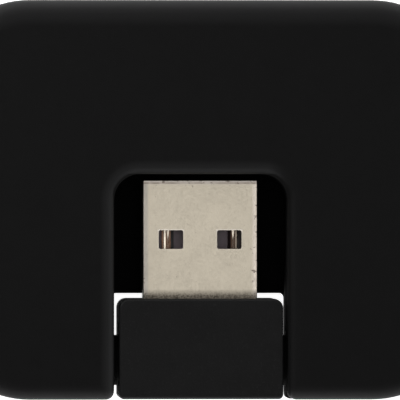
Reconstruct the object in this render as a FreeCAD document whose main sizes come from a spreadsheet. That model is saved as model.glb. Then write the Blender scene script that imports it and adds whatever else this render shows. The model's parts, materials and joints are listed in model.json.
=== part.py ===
import FreeCAD, Part

import math
import os

import Sketcher
from FreeCAD import Placement, Rotation, Vector

# A pocket USB hub: a flat, round-cornered case in two snapped halves, four A sockets in its edges, and a
# captive A plug on a hinge block that folds through half a turn into a recess in one face.
#
# Frame, in millimetres: the case lies on its plain face with the recess face up. X runs across the case,
# +Y points from the hinge to the far edge, +Z out of the recess face, and the origin is the middle of the
# resting face. The case parts at mid height, which is also the height of the hinge axis, of the folded
# plug and of the sockets' mouths.

# alias, size in millimetres, meaning
DIMENSIONS = [
    ("body_width", 57.0, "case across X"),
    ("body_depth", 42.0, "case along Y"),
    ("body_height", 12.0, "case thickness"),
    ("corner_radius", 10.5, "case corners in plan"),
    ("edge_radius", 1.4, "round over along both faces"),
    ("wall", 1.4, "case wall"),
    ("seam_depth", 0.15, "groove along the parting line"),
    ("seam_half", 0.1, "half the groove's height"),
    ("notch_width", 18.3, "recess and slot across X"),
    ("notch_reach", 23.7, "recess end, from the hinge edge"),
    ("notch_corner", 2.7, "recess corners in plan"),
    ("notch_wall", 1.3, "wall round the recess"),
    ("rim_radius", 0.9, "round over along the recess rim"),
    ("slot_rim_radius", 0.45, "round over along the through slot's rim"),
    ("slot_reach", 11.1, "through slot's end, from the hinge edge"),
    ("slot_corner", 0.5, "through slot's inner corners"),
    ("floor_bevel", 0.3, "bevel where the recess's floor ends"),
    ("hinge_inset", 4.1, "hinge axis, from the hinge edge"),
    ("trunnion_radius", 2.65, "hinge trunnions"),
    ("trunnion_play", 0.05, "radial play in the bearings"),
    ("trunnion_end", 12.0, "trunnion's end, from the middle"),
    ("bearing_end", 11.7, "bearing boss, from the middle"),
    ("bearing_half", 3.9, "half the bearing boss along Y"),
    ("bore_radius", 1.6, "lead passage through a trunnion"),
    ("block_width", 17.25, "hinge block across X"),
    ("block_thickness", 10.8, "hinge block"),
    ("block_front", 6.5, "block, axis to plug end"),
    ("block_back", 4.05, "block, axis to blind end"),
    ("block_front_corner", 1.0, "block corners at the plug end"),
    ("block_back_corner", 0.5, "block corners at the blind end"),
    ("block_edge", 0.3, "round over of the block's faces"),
    ("block_wall", 1.3, "block wall round the solder chamber"),
    ("chamber_half", 2.4, "half the solder chamber's height"),
    ("dowel_radius", 0.6, "dowels between the block halves"),
    ("dowel_length", 1.5, "dowels between the block halves"),
    ("dowel_along", 4.7, "dowels, from the hinge axis"),
    ("fit_play", 0.02, "play round a pressed-in piece"),
    ("plug_width", 12.0, "plug shell across X"),
    ("plug_thickness", 4.5, "plug shell"),
    ("plug_tip", 18.9, "plug mouth, from the hinge axis"),
    ("plug_rear", 2.3, "plug shell's rear, from the hinge axis"),
    ("plug_corner", 0.06, "plug shell's outer corners"),
    ("sheet", 0.3, "sheet metal of shells"),
    ("plug_seam", 0.08, "slit where the plug's folded sheet meets"),
    ("window_width", 2.58, "latch window across X"),
    ("window_length", 1.98, "latch window along Y"),
    ("window_corner", 0.2, "latch window's corners"),
    ("window_setback", 5.2, "latch window, from the plug mouth"),
    ("window_spread", 6.15, "between latch window middles"),
    ("tongue_width", 10.9, "plug tongue"),
    ("tongue_setback", 0.5, "plug tongue behind the mouth"),
    ("tongue_drop", 0.05, "plug tongue's face below the middle"),
    ("moulding_length", 4.6, "plug insulator's full-height rear"),
    ("contact_width", 1.0, "contacts"),
    ("contact_sheet", 0.3, "contacts"),
    ("contact_bevel", 0.15, "contacts' front edge"),
    ("outer_pitch", 7.0, "between the two supply contacts"),
    ("inner_pitch", 2.0, "between the two data contacts"),
    ("outer_setback", 1.3, "supply contacts behind the mouth"),
    ("inner_setback", 2.3, "data contacts behind the mouth"),
    ("contact_tail", 0.9, "contact behind the plug insulator"),
    ("port_width", 13.1, "socket shell across its mouth"),
    ("port_thickness", 5.72, "socket shell"),
    ("port_depth", 13.8, "socket shell, front to back"),
    ("port_corner", 0.5, "socket shell's outer corners"),
    ("port_setback", 0.35, "socket mouth behind the case"),
    ("port_play", 0.15, "gap between socket and case"),
    ("far_port_offset", 7.5, "far-edge sockets from the middle"),
    ("blade_width", 11.3, "socket tongue across its mouth"),
    ("blade_thickness", 1.84, "socket tongue"),
    ("blade_drop", 0.05, "socket tongue's face below the middle"),
    ("blade_setback", 1.0, "socket tongue behind the mouth"),
    ("header_length", 3.2, "socket insulator's full-height rear"),
    ("finger_width", 2.4, "socket latch springs"),
    ("finger_root", 2.6, "latch spring's fixed end, from the mouth"),
    ("finger_length", 5.4, "socket latch springs"),
    ("finger_lap", 0.1, "latch spring's lap onto the shell at its root"),
    ("finger_crest", 3.78, "latch spring's deepest bend, from its root"),
    ("finger_gap", 0.3, "slit round a latch spring"),
    ("finger_dip", 0.42, "latch spring's inward bend"),
    ("finger_end_dip", 0.14, "latch spring's free end inside the shell's face"),
    ("finger_spread", 6.1, "between latch spring middles"),
    ("leg_width", 1.5, "socket shell's solder legs"),
    ("leg_setback", 9.4, "solder legs, from the mouth"),
    ("leg_rise", 1.35, "solder legs and tails above the shell"),
    ("leg_play", 0.2, "gap round a solder leg"),
    ("groove_setback", 1.8, "contact grooves in a socket tongue, from the mouth"),
    ("groove_depth", 0.85, "contact grooves in a socket tongue"),
    ("strip_drop", 0.35, "flat of a socket contact below the tongue's face"),
    ("spring_rise", 0.45, "hump of a socket contact above its flat"),
    ("hump_from_mouth", 4.6, "hump of a socket contact, from the mouth"),
    ("hump_run", 2.3, "hump's slope along the contact"),
    ("hump_flat", 0.3, "half the flat on top of the hump"),
    ("tail_gap", 0.35, "socket contact tails behind the shell"),
    ("tail_hole", 0.6, "radius of the tails' holes in the board"),
    ("board_thickness", 1.0, "circuit board"),
    ("board_gap", 0.4, "board edge to case wall"),
    ("board_notch_half", 12.2, "half the board's notch for the hinge"),
    ("board_notch_end", 4.5, "board's notch end, from the middle"),
    ("board_notch_corner", 1.0, "corners of the board's notch"),
    ("post_radius", 1.7, "board posts"),
    ("peg_radius", 0.8, "pegs through the board"),
    ("peg_play", 0.05, "play round a peg"),
    ("peg_length", 2.6, "peg below the board's upper face"),
    ("far_post_across", 16.2, "far posts, from the middle"),
    ("far_post_along", 15.4, "far posts, from the middle"),
    ("near_post_across", 24.5, "near posts, from the middle"),
    ("near_post_along", 8.6, "near posts, from the middle"),
    ("rib_width", 1.0, "ribs under the sockets"),
    ("rib_length", 9.0, "ribs under the sockets"),
    ("rib_spread", 8.0, "between the two ribs of a socket"),
    ("rib_gap", 0.04, "rib to socket shell"),
    ("snap_across", 16.6, "snap arms, from the middle"),
    ("snap_width", 4.0, "snap arms"),
    ("snap_sheet", 1.0, "snap arms"),
    ("snap_play", 0.1, "gap round a snap arm"),
    ("snap_root", 2.0, "snap arm's root below the parting line"),
    ("snap_rise", 2.4, "snap arm above the parting line"),
    ("snap_hook", 0.4, "snap hook's reach into the wall"),
    ("snap_hook_low", 1.2, "snap hook's flat above the parting line"),
    ("snap_hook_high", 2.2, "snap hook's top above the parting line"),
    ("lead_radius", 0.4, "insulated leads"),
    ("lead_start", 0.05, "lead's end to the plug insulator"),
    ("lead_lane", 0.5, "lead lanes either side of the axis"),
    ("lead_bend", 1.2, "lead's first bend, in the solder chamber"),
    ("lead_touch", 0.01, "lead to contact tail, and to the board"),
    ("lead_first_pad", 14.0, "first lead's joint, from the middle"),
    ("lead_pad_pitch", 1.2, "between the leads' joints"),
    ("lead_rise_start", 3.1, "lead begins to climb, from the axis"),
    ("lead_rise_end", 6.2, "lead has climbed, from the axis"),
    ("lead_pad_along", 7.9, "lead's joint, from the axis"),
    ("chip_across", -18.2, "hub chip's middle"),
    ("chip_along", -13.4, "hub chip's middle"),
    ("chip_length", 9.9, "hub chip's body"),
    ("chip_width", 3.9, "hub chip's body"),
    ("chip_thickness", 1.5, "hub chip's body"),
    ("chip_standoff", 0.1, "hub chip's body to the board"),
    ("chip_bevel", 0.18, "hub chip's edges"),
    ("chip_leg_pitch", 0.635, "hub chip's legs"),
    ("chip_leg_width", 0.25, "hub chip's legs"),
    ("chip_leg_sheet", 0.15, "hub chip's legs"),
    ("chip_leg_span", 6.0, "across the feet of the legs"),
    ("chip_foot", 0.5, "foot of a leg"),
    ("chip_shoulder", 0.35, "shoulder of a leg"),
    ("crystal_across", 20.2, "crystal's middle"),
    ("crystal_along", 11.0, "crystal's middle"),
    ("crystal_length", 11.05, "crystal's flange"),
    ("crystal_width", 4.65, "crystal's flange"),
    ("crystal_flange", 0.45, "crystal's flange"),
    ("crystal_inset", 0.42, "crystal's can inside its flange"),
    ("crystal_height", 3.5, "crystal below the board"),
    ("crystal_edge", 0.5, "round over of the crystal's can"),
    ("crystal_flat", 0.1, "half the flat at the crystal's ends"),
    ("can_across", -20.5, "electrolytic capacitor's middle"),
    ("can_along", 11.2, "electrolytic capacitor's middle"),
    ("can_radius", 2.5, "electrolytic capacitor's can"),
    ("can_height", 5.4, "electrolytic capacitor below the board"),
    ("can_crimp", 0.2, "depth of the crimp round the can"),
    ("can_crimp_up", 0.9, "crimp above the base"),
    ("can_crimp_half", 0.4, "half the crimp's height"),
    ("can_edge", 0.3, "bevel of the can's end"),
    ("can_base", 5.3, "capacitor's square base"),
    ("can_base_height", 1.0, "capacitor's square base"),
    ("can_base_bevel", 1.2, "two cut corners of the base"),
    ("capacitor_length", 2.0, "chip capacitors"),
    ("capacitor_width", 1.25, "chip capacitors"),
    ("capacitor_height", 0.85, "chip capacitors"),
    ("resistor_length", 1.6, "chip resistors"),
    ("resistor_width", 0.8, "chip resistors"),
    ("resistor_height", 0.45, "chip resistors"),
]

# Middles of the small chips on the board's lower face, across and along, in millimetres.
CAPACITOR_SPOTS = [
    (-20.6, -8.4),
    (-17.4, -8.4),
    (-14.2, -8.4),
    (21.5, -12.0),
    (21.5, -15.0),
    (19.8, 15.6),
    (22.9, 14.6),
]
RESISTOR_SPOTS = [
    (-19.5, -17.6),
    (-17.3, -17.6),
    (-15.1, -17.6),
    (24.6, -12.0),
    (24.0, -14.4),
]

AXIS_Y = "(dims.hinge_inset - dims.body_depth / 2)"
MID_Z = "(dims.body_height / 2)"
HALF_NOTCH = "(dims.notch_width / 2)"
HINGE_EDGE = "(-dims.body_depth / 2)"
NOTCH_END = f"({HINGE_EDGE} + dims.notch_reach)"
SLOT_END = f"({HINGE_EDGE} + dims.slot_reach)"
INSIDE_DEPTH = "(dims.body_height / 2 - dims.wall)"
BOARD_LOW = f"({MID_Z} + dims.port_thickness / 2)"
BOARD_TOP = f"({BOARD_LOW} + dims.board_thickness)"
PLUG_REAR = f"({AXIS_Y} + dims.plug_rear)"
PLUG_TIP = f"({AXIS_Y} + dims.plug_tip)"
CONTACT_MID = f"({MID_Z} - dims.tongue_drop - dims.contact_sheet / 2)"
BLADE_FACE = "(-dims.blade_drop)"
STRIP_MID = f"({BLADE_FACE} - dims.strip_drop)"
TAIL_MID = "(-dims.port_depth - dims.tail_gap - dims.contact_sheet / 2)"
CONTACTS = [
    ("power", "(-dims.outer_pitch / 2)"),
    ("data_minus", "(-dims.inner_pitch / 2)"),
    ("data_plus", "(dims.inner_pitch / 2)"),
    ("ground", "(dims.outer_pitch / 2)"),
]
CLEAR = "3"  # how far a cutter runs past the face that it opens
BURIED = "0.4"  # how far an added piece starts inside what it grows from
PER_PIN = "dims.chip_leg_pitch"
LEGS_PER_SIDE = 14
SLIVER = 1e-6
BEND_SHARE = 0.45  # how much of the shorter run a lead's later bends take
TUBE_TOLERANCE = 0.01
ON = 0.001  # how near counts as on, when edges are picked

doc = FreeCAD.newDocument("usb_hub")
dims = doc.addObject("Spreadsheet::Sheet", "dims")


def fill_sheet():
    rows = list(DIMENSIONS)
    for kind, spots in (("capacitor", CAPACITOR_SPOTS), ("resistor", RESISTOR_SPOTS)):
        for number, (across, along) in enumerate(spots, start=1):
            rows.append((f"{kind}_{number}_across", across, f"chip {kind} {number}'s middle"))
            rows.append((f"{kind}_{number}_along", along, f"chip {kind} {number}'s middle"))
    for row, (alias, size, meaning) in enumerate(rows, start=1):
        dims.set(f"A{row}", alias)
        dims.set(f"B{row}", str(size))
        dims.setAlias(f"B{row}", alias)
        dims.set(f"C{row}", meaning)
    doc.recompute()


fill_sheet()
sub_parts = []


def value(expression):
    """What an expression on the sheet's cells comes to, in millimetres."""
    return float(dims.evalExpression(expression))


# ---- Sketches: every point and radius is tied to the origin by constraints bound to the sheet ----


def new_body(label):
    body = doc.addObject("PartDesign::Body", label)
    body.Label = label
    sub_parts.append(body)
    return body


def sketch_on(body, role, height="0"):
    """A sketch on one of the body's own origin planes, moved along the plane's normal by height."""
    sketch = body.newObject("Sketcher::SketchObject", f"{body.Name}_sketch")
    plane = next(feature for feature in body.Origin.OriginFeatures if feature.Role == role)
    sketch.AttachmentSupport = (plane, "")
    sketch.MapMode = "FlatFace"
    sketch.setExpression("AttachmentOffset.Base.z", height)
    return sketch


def level(body, height="0"):
    """A sketch plane facing +Z: its x is X and its y is Y."""
    return sketch_on(body, "XY_Plane", height)


def across(body, x="0"):
    """A sketch plane facing +X: its x is Y and its y is Z."""
    return sketch_on(body, "YZ_Plane", x)


def along(body, y="0"):
    """A sketch plane facing -Y: its x is X and its y is Z."""
    return sketch_on(body, "XZ_Plane", f"-({y})")


def bind(sketch, kind, expression, *elements):
    """Adds a constraint whose size is an expression."""
    index = sketch.addConstraint(Sketcher.Constraint(kind, *elements, value(expression)))
    sketch.setExpression(f"Constraints[{index}]", expression)


def pin(sketch, geometry, end, x, y):
    """Ties one point of a piece of geometry to (x, y) from the sketch's origin."""
    bind(sketch, "DistanceX", x, -1, 1, geometry, end)
    bind(sketch, "DistanceY", y, -1, 1, geometry, end)


def polygon(sketch, points):
    """A closed outline of straight lines through points, each a pair of expressions."""
    places = [Vector(value(x), value(y)) for x, y in points]
    lines = []
    for start, end in zip(places, places[1:] + places[:1]):
        lines.append(sketch.addGeometry(Part.LineSegment(start, end), False))
    for line, following in zip(lines, lines[1:] + lines[:1]):
        sketch.addConstraint(Sketcher.Constraint("Coincident", line, 2, following, 1))
    for line, (x, y) in zip(lines, points):
        pin(sketch, line, 1, x, y)


def rectangle(sketch, left, right, low, high):
    polygon(sketch, [(left, low), (right, low), (right, high), (left, high)])


def centred(sketch, x, y, width, height):
    """A rectangle centred on (x, y)."""
    half_width = f"({width}) / 2"
    half_height = f"({height}) / 2"
    rectangle(
        sketch,
        f"{x} - {half_width}",
        f"{x} + {half_width}",
        f"{y} - {half_height}",
        f"{y} + {half_height}",
    )


def circle(sketch, x, y, radius):
    ring = Part.Circle(Vector(value(x), value(y)), Vector(0, 0, 1), value(radius))
    geometry = sketch.addGeometry(ring, False)
    pin(sketch, geometry, 3, x, y)
    bind(sketch, "Radius", radius, geometry)


def arc(sketch, x, y, radius, start, end):
    """An arc anticlockwise from start to end, in degrees. Returns its number and its geometry."""
    ring = Part.Circle(Vector(value(x), value(y)), Vector(0, 0, 1), value(radius))
    curve = Part.ArcOfCircle(ring, math.radians(start), math.radians(end))
    geometry = sketch.addGeometry(curve, False)
    pin(sketch, geometry, 3, x, y)
    bind(sketch, "Radius", radius, geometry)
    return geometry, curve


def round_cornered(sketch, x, y, width, height, radius):
    """A rectangle centred on (x, y) with four round corners."""
    corners = []
    for quarter, (right, up) in enumerate([(1, 1), (-1, 1), (-1, -1), (1, -1)]):
        corner_x = f"{x} + {right} * (({width}) / 2 - {radius})"
        corner_y = f"{y} + {up} * (({height}) / 2 - {radius})"
        corners.append(arc(sketch, corner_x, corner_y, radius, 90 * quarter, 90 * quarter + 90))
    for (corner, curve), (following, next_curve) in zip(corners, corners[1:] + corners[:1]):
        side = sketch.addGeometry(Part.LineSegment(curve.EndPoint, next_curve.StartPoint), False)
        sketch.addConstraint(Sketcher.Constraint("Tangent", corner, 2, side, 1))
        sketch.addConstraint(Sketcher.Constraint("Tangent", side, 2, following, 1))


def half_disc(sketch, x, y, radius, up):
    """The half of a disc above or below (x, y)."""
    start = 0 if up else 180
    bow, curve = arc(sketch, x, y, radius, start, start + 180)
    chord = sketch.addGeometry(Part.LineSegment(curve.EndPoint, curve.StartPoint), False)
    sketch.addConstraint(Sketcher.Constraint("Coincident", bow, 2, chord, 1))
    sketch.addConstraint(Sketcher.Constraint("Coincident", chord, 2, bow, 1))
    sketch.addConstraint(Sketcher.Constraint("Horizontal", chord))


# ---- Features ----


def extrude(body, kind, sketch, length, backward, both):
    feature = body.newObject(kind, f"{body.Name}_{kind.rpartition('::')[2]}")
    feature.Profile = sketch
    feature.setExpression("Length", length)
    feature.Reversed = backward
    feature.SideType = "Symmetric" if both else "One side"
    body.Tip = feature
    doc.recompute()
    return feature


def pad(body, sketch, length, backward=False, both=False):
    """Adds a prism on the sketch, along its normal unless backward."""
    return extrude(body, "PartDesign::Pad", sketch, length, backward, both)


def pocket(body, sketch, length, forward=False, both=False):
    """Cuts a prism on the sketch, against its normal unless forward."""
    before = body.Shape.Volume
    feature = extrude(body, "PartDesign::Pocket", sketch, length, forward, both)
    if body.Shape.Volume > before - SLIVER:
        raise RuntimeError(f"{body.Label}: {feature.Name} cuts nothing")
    return feature


def blend(body, kind, size, picks):
    """Rounds or bevels the edges of the body that picks accepts."""
    base = body.Tip
    names = [f"Edge{n}" for n, edge in enumerate(base.Shape.Edges, start=1) if picks(edge)]
    if not names:
        raise RuntimeError(f"{body.Label}: no edge to blend")
    feature = body.newObject(f"PartDesign::{kind}", f"{body.Name}_{kind}")
    feature.Base = (base, names)
    feature.setExpression("Radius" if kind == "Fillet" else "Size", size)
    body.Tip = feature
    doc.recompute()
    return feature


def repeat(body, feature, axis, spacing, count):
    """Repeats a feature along one of the body's own axes."""
    row = body.newObject("PartDesign::LinearPattern", f"{body.Name}_row")
    row.Originals = [feature]
    line = next(item for item in body.Origin.OriginFeatures if item.Role == axis)
    row.Direction = (line, [""])
    row.Occurrences = count
    row.setExpression("Length", f"{spacing} * {count - 1}")
    body.Tip = row
    doc.recompute()
    return row


def flat_at(z):
    """Accepts the edges that lie at height z."""
    height = value(z)
    return lambda edge: abs(edge.BoundBox.ZMin - height) < ON and abs(edge.BoundBox.ZMax - height) < ON


def put(item, x="0", y="0", z="0", turn=0):
    """Places a sub-part, turned about Z."""
    item.Placement = Placement(Vector(value(x), value(y), value(z)), Rotation(Vector(0, 0, 1), turn))
    for letter, expression in zip("xyz", (x, y, z)):
        item.setExpression(f"Placement.Base.{letter}", expression)


# ---- Sockets: where they are, in the frame ----

FAR_MOUTH = "(dims.body_depth / 2 - dims.port_setback)"
SIDE_MOUTH = "(dims.body_width / 2 - dims.port_setback)"


class Socket:
    """A socket's mouth and the way it faces. Its own frame has the mouth at y = 0, facing +Y."""

    def __init__(self, name, x, y, turn):
        self.name = name
        self.x = x
        self.y = y
        self.turn = turn
        self.cosine = round(math.cos(math.radians(turn)))
        self.sine = round(math.sin(math.radians(turn)))

    def spot(self, x, y):
        """A place in the socket's own frame, given in the hub's frame."""
        return (
            f"{self.x} + {self.cosine} * ({x}) - {self.sine} * ({y})",
            f"{self.y} + {self.sine} * ({x}) + {self.cosine} * ({y})",
        )

    def spread(self, width, length):
        """Sizes across and along the socket, as sizes along X and Y."""
        return (length, width) if self.sine else (width, length)


SOCKETS = [
    Socket("port_1", "(-dims.far_port_offset)", FAR_MOUTH, 0),
    Socket("port_2", "dims.far_port_offset", FAR_MOUTH, 0),
    Socket("port_3", SIDE_MOUTH, "0", -90),
    Socket("port_4", f"(-{SIDE_MOUTH})", "0", 90),
]
PORT_WIDE = "(dims.port_width + 2 * dims.port_play)"
PORT_TALL = "(dims.port_thickness + 2 * dims.port_play)"
POSTS = []
for side in (-1, 1):
    POSTS.append((f"({side} * dims.far_post_across)", "dims.far_post_along"))
    POSTS.append((f"({side} * dims.near_post_across)", "(-dims.near_post_along)"))
ARMS = [(side, end) for side in (-1, 1) for end in (-1, 1)]


# ---- The case ----


def case_half(label, upper):
    """What the two halves share: the shell, the recess wall and the hinge bearings."""
    body = new_body(label)
    face = "dims.body_height" if upper else "0"
    pad(body, outline(body, MID_Z, "0"), "dims.body_height / 2", backward=not upper)
    blend(body, "Fillet", "dims.edge_radius", flat_at(face))
    pocket(body, outline(body, MID_Z, "2 * dims.wall"), INSIDE_DEPTH, forward=upper)

    walls = level(body, MID_Z)
    reach = f"({HINGE_EDGE} + {BURIED})"
    wall_end = f"({NOTCH_END} + dims.notch_wall)"
    half = f"({HALF_NOTCH} + dims.notch_wall)"
    rectangle(walls, f"-{half}", half, reach, wall_end)
    pad(body, walls, f"{INSIDE_DEPTH} + {BURIED}", backward=not upper)
    bosses = level(body, MID_Z)
    low = f"({AXIS_Y} - dims.bearing_half)"
    high = f"({AXIS_Y} + dims.bearing_half)"
    rectangle(bosses, "-dims.bearing_end", "dims.bearing_end", low, high)
    pad(body, bosses, f"{INSIDE_DEPTH} + {BURIED}", backward=not upper)

    return body


def seam(body, upper):
    """Cuts this half's share of the groove along the parting line."""
    groove = outline(body, MID_Z, f"-2 * {CLEAR}")
    ring(groove, "2 * dims.seam_depth")
    pocket(body, groove, "dims.seam_half", forward=upper)


def outline(body, height, inset):
    """A sketch with the case's outline, smaller all round by half of inset."""
    sketch = level(body, height)
    ring(sketch, inset)
    return sketch


def ring(sketch, inset):
    width = f"dims.body_width - ({inset})"
    depth = f"dims.body_depth - ({inset})"
    round_cornered(sketch, "0", "0", width, depth, f"(dims.corner_radius - ({inset}) / 2)")


def notch(body, height, end, corner):
    """A sketch as wide as the notch, open at the hinge edge and round-cornered at its end."""
    sketch = level(body, height)
    far = f"({end})"
    near = f"({HINGE_EDGE} - {CLEAR})"
    round_cornered(sketch, "0", f"({far} + {near}) / 2", "dims.notch_width", f"{far} - {near}", corner)
    return sketch


def round_rim(body, z, inner_end, radius):
    """Rounds the notch's rim at height z, down its open ends included."""
    half = value(HALF_NOTCH)
    height = value(z)
    edge = value(HINGE_EDGE)
    inner = value(inner_end)

    def on_rim(piece):
        box = piece.BoundBox
        beside = abs(max(abs(box.XMin), abs(box.XMax)) - half) < ON
        flat = abs(box.ZMin - height) < ON and abs(box.ZMax - height) < ON
        inside = box.YMax < inner + ON and abs(box.XMin) < half + ON and abs(box.XMax) < half + ON
        return (flat and inside) or (beside and box.XLength < ON and box.YMin < edge + ON and not flat)

    blend(body, "Fillet", radius, on_rim)


def bearings(body):
    """Bores both bearings along the hinge axis."""
    sketch = across(body)
    circle(sketch, AXIS_Y, MID_Z, "dims.trunnion_radius + dims.trunnion_play")
    pocket(body, sketch, "2 * dims.trunnion_end", both=True)


def port_openings(body):
    """Opens the walls where the sockets look out."""
    far = along(body, "dims.body_depth / 2 - 2 * dims.wall")
    for side in (-1, 1):
        centred(far, f"{side} * dims.far_port_offset", MID_Z, PORT_WIDE, PORT_TALL)
    pocket(body, far, f"2 * dims.wall + {CLEAR}")
    for side in (-1, 1):
        opening = across(body, f"{side} * (dims.body_width / 2 - 2 * dims.wall)")
        centred(opening, "0", MID_Z, PORT_WIDE, PORT_TALL)
        pocket(body, opening, f"2 * dims.wall + {CLEAR}", forward=side > 0)


def recess_cover():
    """The half of the case with the recess face."""
    body = case_half("recess_cover", upper=True)
    pocket(body, notch(body, MID_Z, NOTCH_END, "dims.notch_corner"), "dims.body_height", forward=True)
    round_rim(body, "dims.body_height", NOTCH_END, "dims.rim_radius")
    seam(body, upper=True)
    bearings(body)
    port_openings(body)

    posts = level(body, BOARD_TOP)
    pegs = level(body, f"{BOARD_TOP} - dims.peg_length")
    for x, y in POSTS:
        circle(posts, x, y, "dims.post_radius")
        circle(pegs, x, y, "dims.peg_radius")
    pad(body, posts, f"dims.body_height - dims.wall - {BOARD_TOP} + {BURIED}")
    pad(body, pegs, f"dims.peg_length + {BURIED}")

    catches = level(body, f"{MID_Z} + dims.snap_hook_low - dims.snap_play")
    for side, end in ARMS:
        inner = f"{end} * (dims.body_depth / 2 - dims.wall - {BURIED})"
        outer = f"{end} * (dims.body_depth / 2 - dims.wall + dims.snap_hook)"
        middle = f"({inner} + ({outer})) / 2"
        size = f"{end} * ({outer} - ({inner}))"
        centred(catches, f"{side} * dims.snap_across", middle, "dims.snap_width + 2 * dims.snap_play", size)
    pocket(body, catches, "dims.snap_hook_high - dims.snap_hook_low + 2 * dims.snap_play", forward=True)


def plain_cover():
    """The half of the case with the plain face. It carries the recess's floor."""
    body = case_half("plain_cover", upper=False)
    pocket(body, notch(body, MID_Z, NOTCH_END, "dims.notch_corner"), INSIDE_DEPTH)
    pocket(body, notch(body, "dims.wall", SLOT_END, "dims.slot_corner"), f"dims.wall + {CLEAR}")
    bevel = across(body)
    outer = f"({SLOT_END} - dims.slot_corner)"
    low = "(dims.wall - dims.floor_bevel - dims.slot_corner)"
    polygon(bevel, [(outer, low), (f"{SLOT_END} + dims.floor_bevel", "dims.wall"), (outer, "dims.wall")])
    pocket(body, bevel, "dims.notch_width", both=True)
    round_rim(body, "0", SLOT_END, "dims.slot_rim_radius")
    seam(body, upper=False)
    bearings(body)
    port_openings(body)

    posts = level(body, f"dims.wall - {BURIED}")
    bores = level(body, BOARD_LOW)
    for x, y in POSTS:
        circle(posts, x, y, "dims.post_radius")
        circle(bores, x, y, "dims.peg_radius + dims.peg_play")
    pad(body, posts, f"{BOARD_LOW} - dims.wall + {BURIED}")
    pocket(body, bores, "dims.peg_length - dims.board_thickness + 4 * dims.peg_play")

    ribs = level(body, f"dims.wall - {BURIED}")
    for socket in SOCKETS:
        for side in (-1, 1):
            x, y = socket.spot(f"{side} * dims.rib_spread / 2", "-dims.port_depth / 2")
            centred(ribs, f"({x})", f"({y})", *socket.spread("dims.rib_width", "dims.rib_length"))
    shell_low = f"({MID_Z} - dims.port_thickness / 2)"
    pad(body, ribs, f"{shell_low} - dims.rib_gap - dims.wall + {BURIED}")

    for side, end in ARMS:
        arm = across(body, f"{side} * dims.snap_across")
        wall = "(dims.body_depth / 2 - dims.wall)"
        front = f"({wall} - dims.snap_play)"
        back = f"({front} - dims.snap_sheet)"
        hook = f"({wall} + dims.snap_hook - dims.snap_play)"
        profile = [
            (back, f"dims.wall - {BURIED}"),
            (f"({wall} + {BURIED})", f"dims.wall - {BURIED}"),
            (f"({wall} + {BURIED})", f"{MID_Z} - dims.snap_root"),
            (front, f"{MID_Z} - dims.snap_root"),
            (front, f"{MID_Z} + dims.snap_hook_low"),
            (hook, f"{MID_Z} + dims.snap_hook_low"),
            (front, f"{MID_Z} + dims.snap_hook_high"),
            (front, f"{MID_Z} + dims.snap_rise"),
            (back, f"{MID_Z} + dims.snap_rise"),
        ]
        polygon(arm, [(f"{end} * ({y})", z) for y, z in profile])
        pad(body, arm, "dims.snap_width", both=True)


# ---- The hinge block ----


def hinge_block(label, upper):
    """Half of the block: its two trunnions, the bed of the plug and the solder chamber behind it."""
    body = new_body(label)
    half_width = "(dims.block_width / 2)"
    half_thickness = "(dims.block_thickness / 2)"
    front = f"({AXIS_Y} + dims.block_front)"
    back = f"({AXIS_Y} - dims.block_back)"
    solid = level(body, MID_Z)
    rectangle(solid, f"-{half_width}", half_width, back, front)
    pad(body, solid, half_thickness, backward=not upper)

    def upright_at(y):
        place = value(y)
        return lambda edge: edge.BoundBox.ZLength > 1 and abs(edge.BoundBox.YMin - place) < ON

    blend(body, "Fillet", "dims.block_front_corner", upright_at(front))
    blend(body, "Fillet", "dims.block_back_corner", upright_at(back))
    face = f"{MID_Z} + {half_thickness}" if upper else f"{MID_Z} - {half_thickness}"
    blend(body, "Fillet", "dims.block_edge", flat_at(face))

    trunnions = across(body)
    half_disc(trunnions, AXIS_Y, MID_Z, "dims.trunnion_radius", upper)
    pad(body, trunnions, "2 * dims.trunnion_end", both=True)

    bed = level(body, MID_Z)
    bed_half = "(dims.plug_width / 2 + dims.fit_play)"
    rectangle(bed, f"-{bed_half}", bed_half, f"{PLUG_REAR} - dims.fit_play", f"{front} + {CLEAR}")
    pocket(body, bed, "dims.plug_thickness / 2 + dims.fit_play", forward=upper)
    chamber = level(body, MID_Z)
    chamber_half = f"({half_width} - dims.block_wall)"
    chamber_back = f"({back} + dims.block_wall)"
    rectangle(chamber, f"-{chamber_half}", chamber_half, chamber_back, f"{PLUG_REAR} - dims.fit_play")
    pocket(body, chamber, "dims.chamber_half", forward=upper)
    bore = across(body, f"{chamber_half} - {BURIED}")
    circle(bore, AXIS_Y, MID_Z, "dims.bore_radius")
    pocket(body, bore, f"dims.trunnion_end - {chamber_half} + {CLEAR}", forward=True)

    dowels = level(body, MID_Z)
    middle = f"(({bed_half} + {half_width}) / 2)"
    for side in (-1, 1):
        radius = "dims.dowel_radius" if upper else "dims.dowel_radius + dims.fit_play"
        circle(dowels, f"{side} * {middle}", f"{AXIS_Y} + dims.dowel_along", radius)
    if upper:
        pad(body, dowels, "dims.dowel_length", backward=True)
    else:
        pocket(body, dowels, "dims.dowel_length + 2 * dims.fit_play")


# ---- The plug ----


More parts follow.
